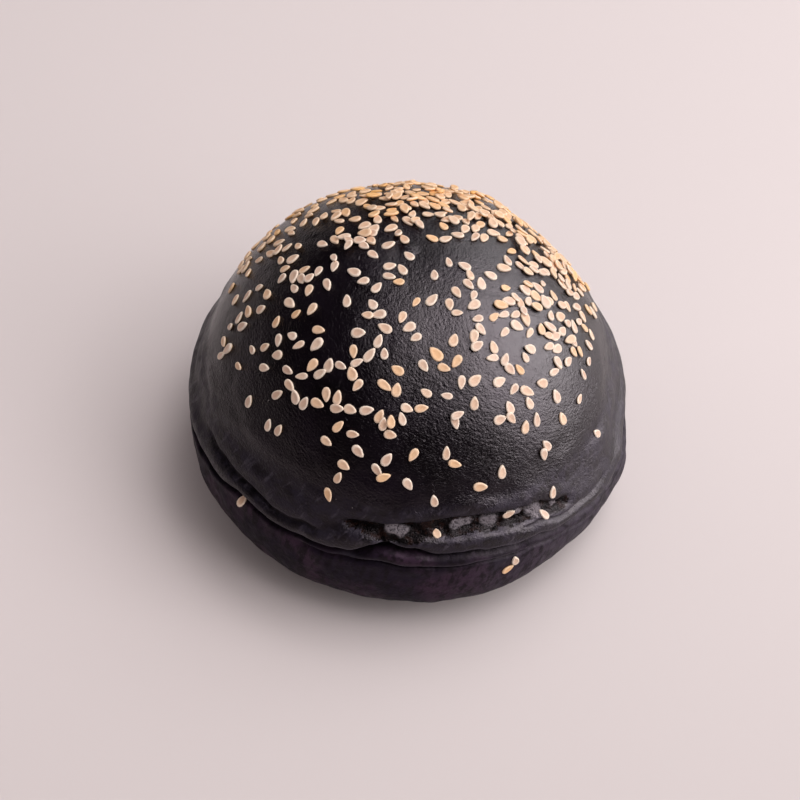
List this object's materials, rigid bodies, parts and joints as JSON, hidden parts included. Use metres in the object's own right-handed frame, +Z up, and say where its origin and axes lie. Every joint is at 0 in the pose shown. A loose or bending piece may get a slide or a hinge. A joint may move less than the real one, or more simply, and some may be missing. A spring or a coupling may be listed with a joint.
{
  "type": "bread roll",
  "caption": "Tall round burger bun with a black crust, a deep fold round its side, and sesame seeds on its crown.",
  "frame": {"origin": "centre of the flat base, on the surface that the bun stands on", "axes": "+Z up through the crown, -Y towards the side with the torn fold, +X to the right when that side is seen"},
  "size_m": [0.0976, 0.102, 0.0654],
  "materials": {
    "crust": "near-black, faintly purple egg-glazed crust, glossy, with a fine leathery grain",
    "sesame": "hulled sesame seed, cream to toasted gold, satin"
  },
  "bodies": {
    "root": {"bun": "crust"}
  },
  "joints": []
}
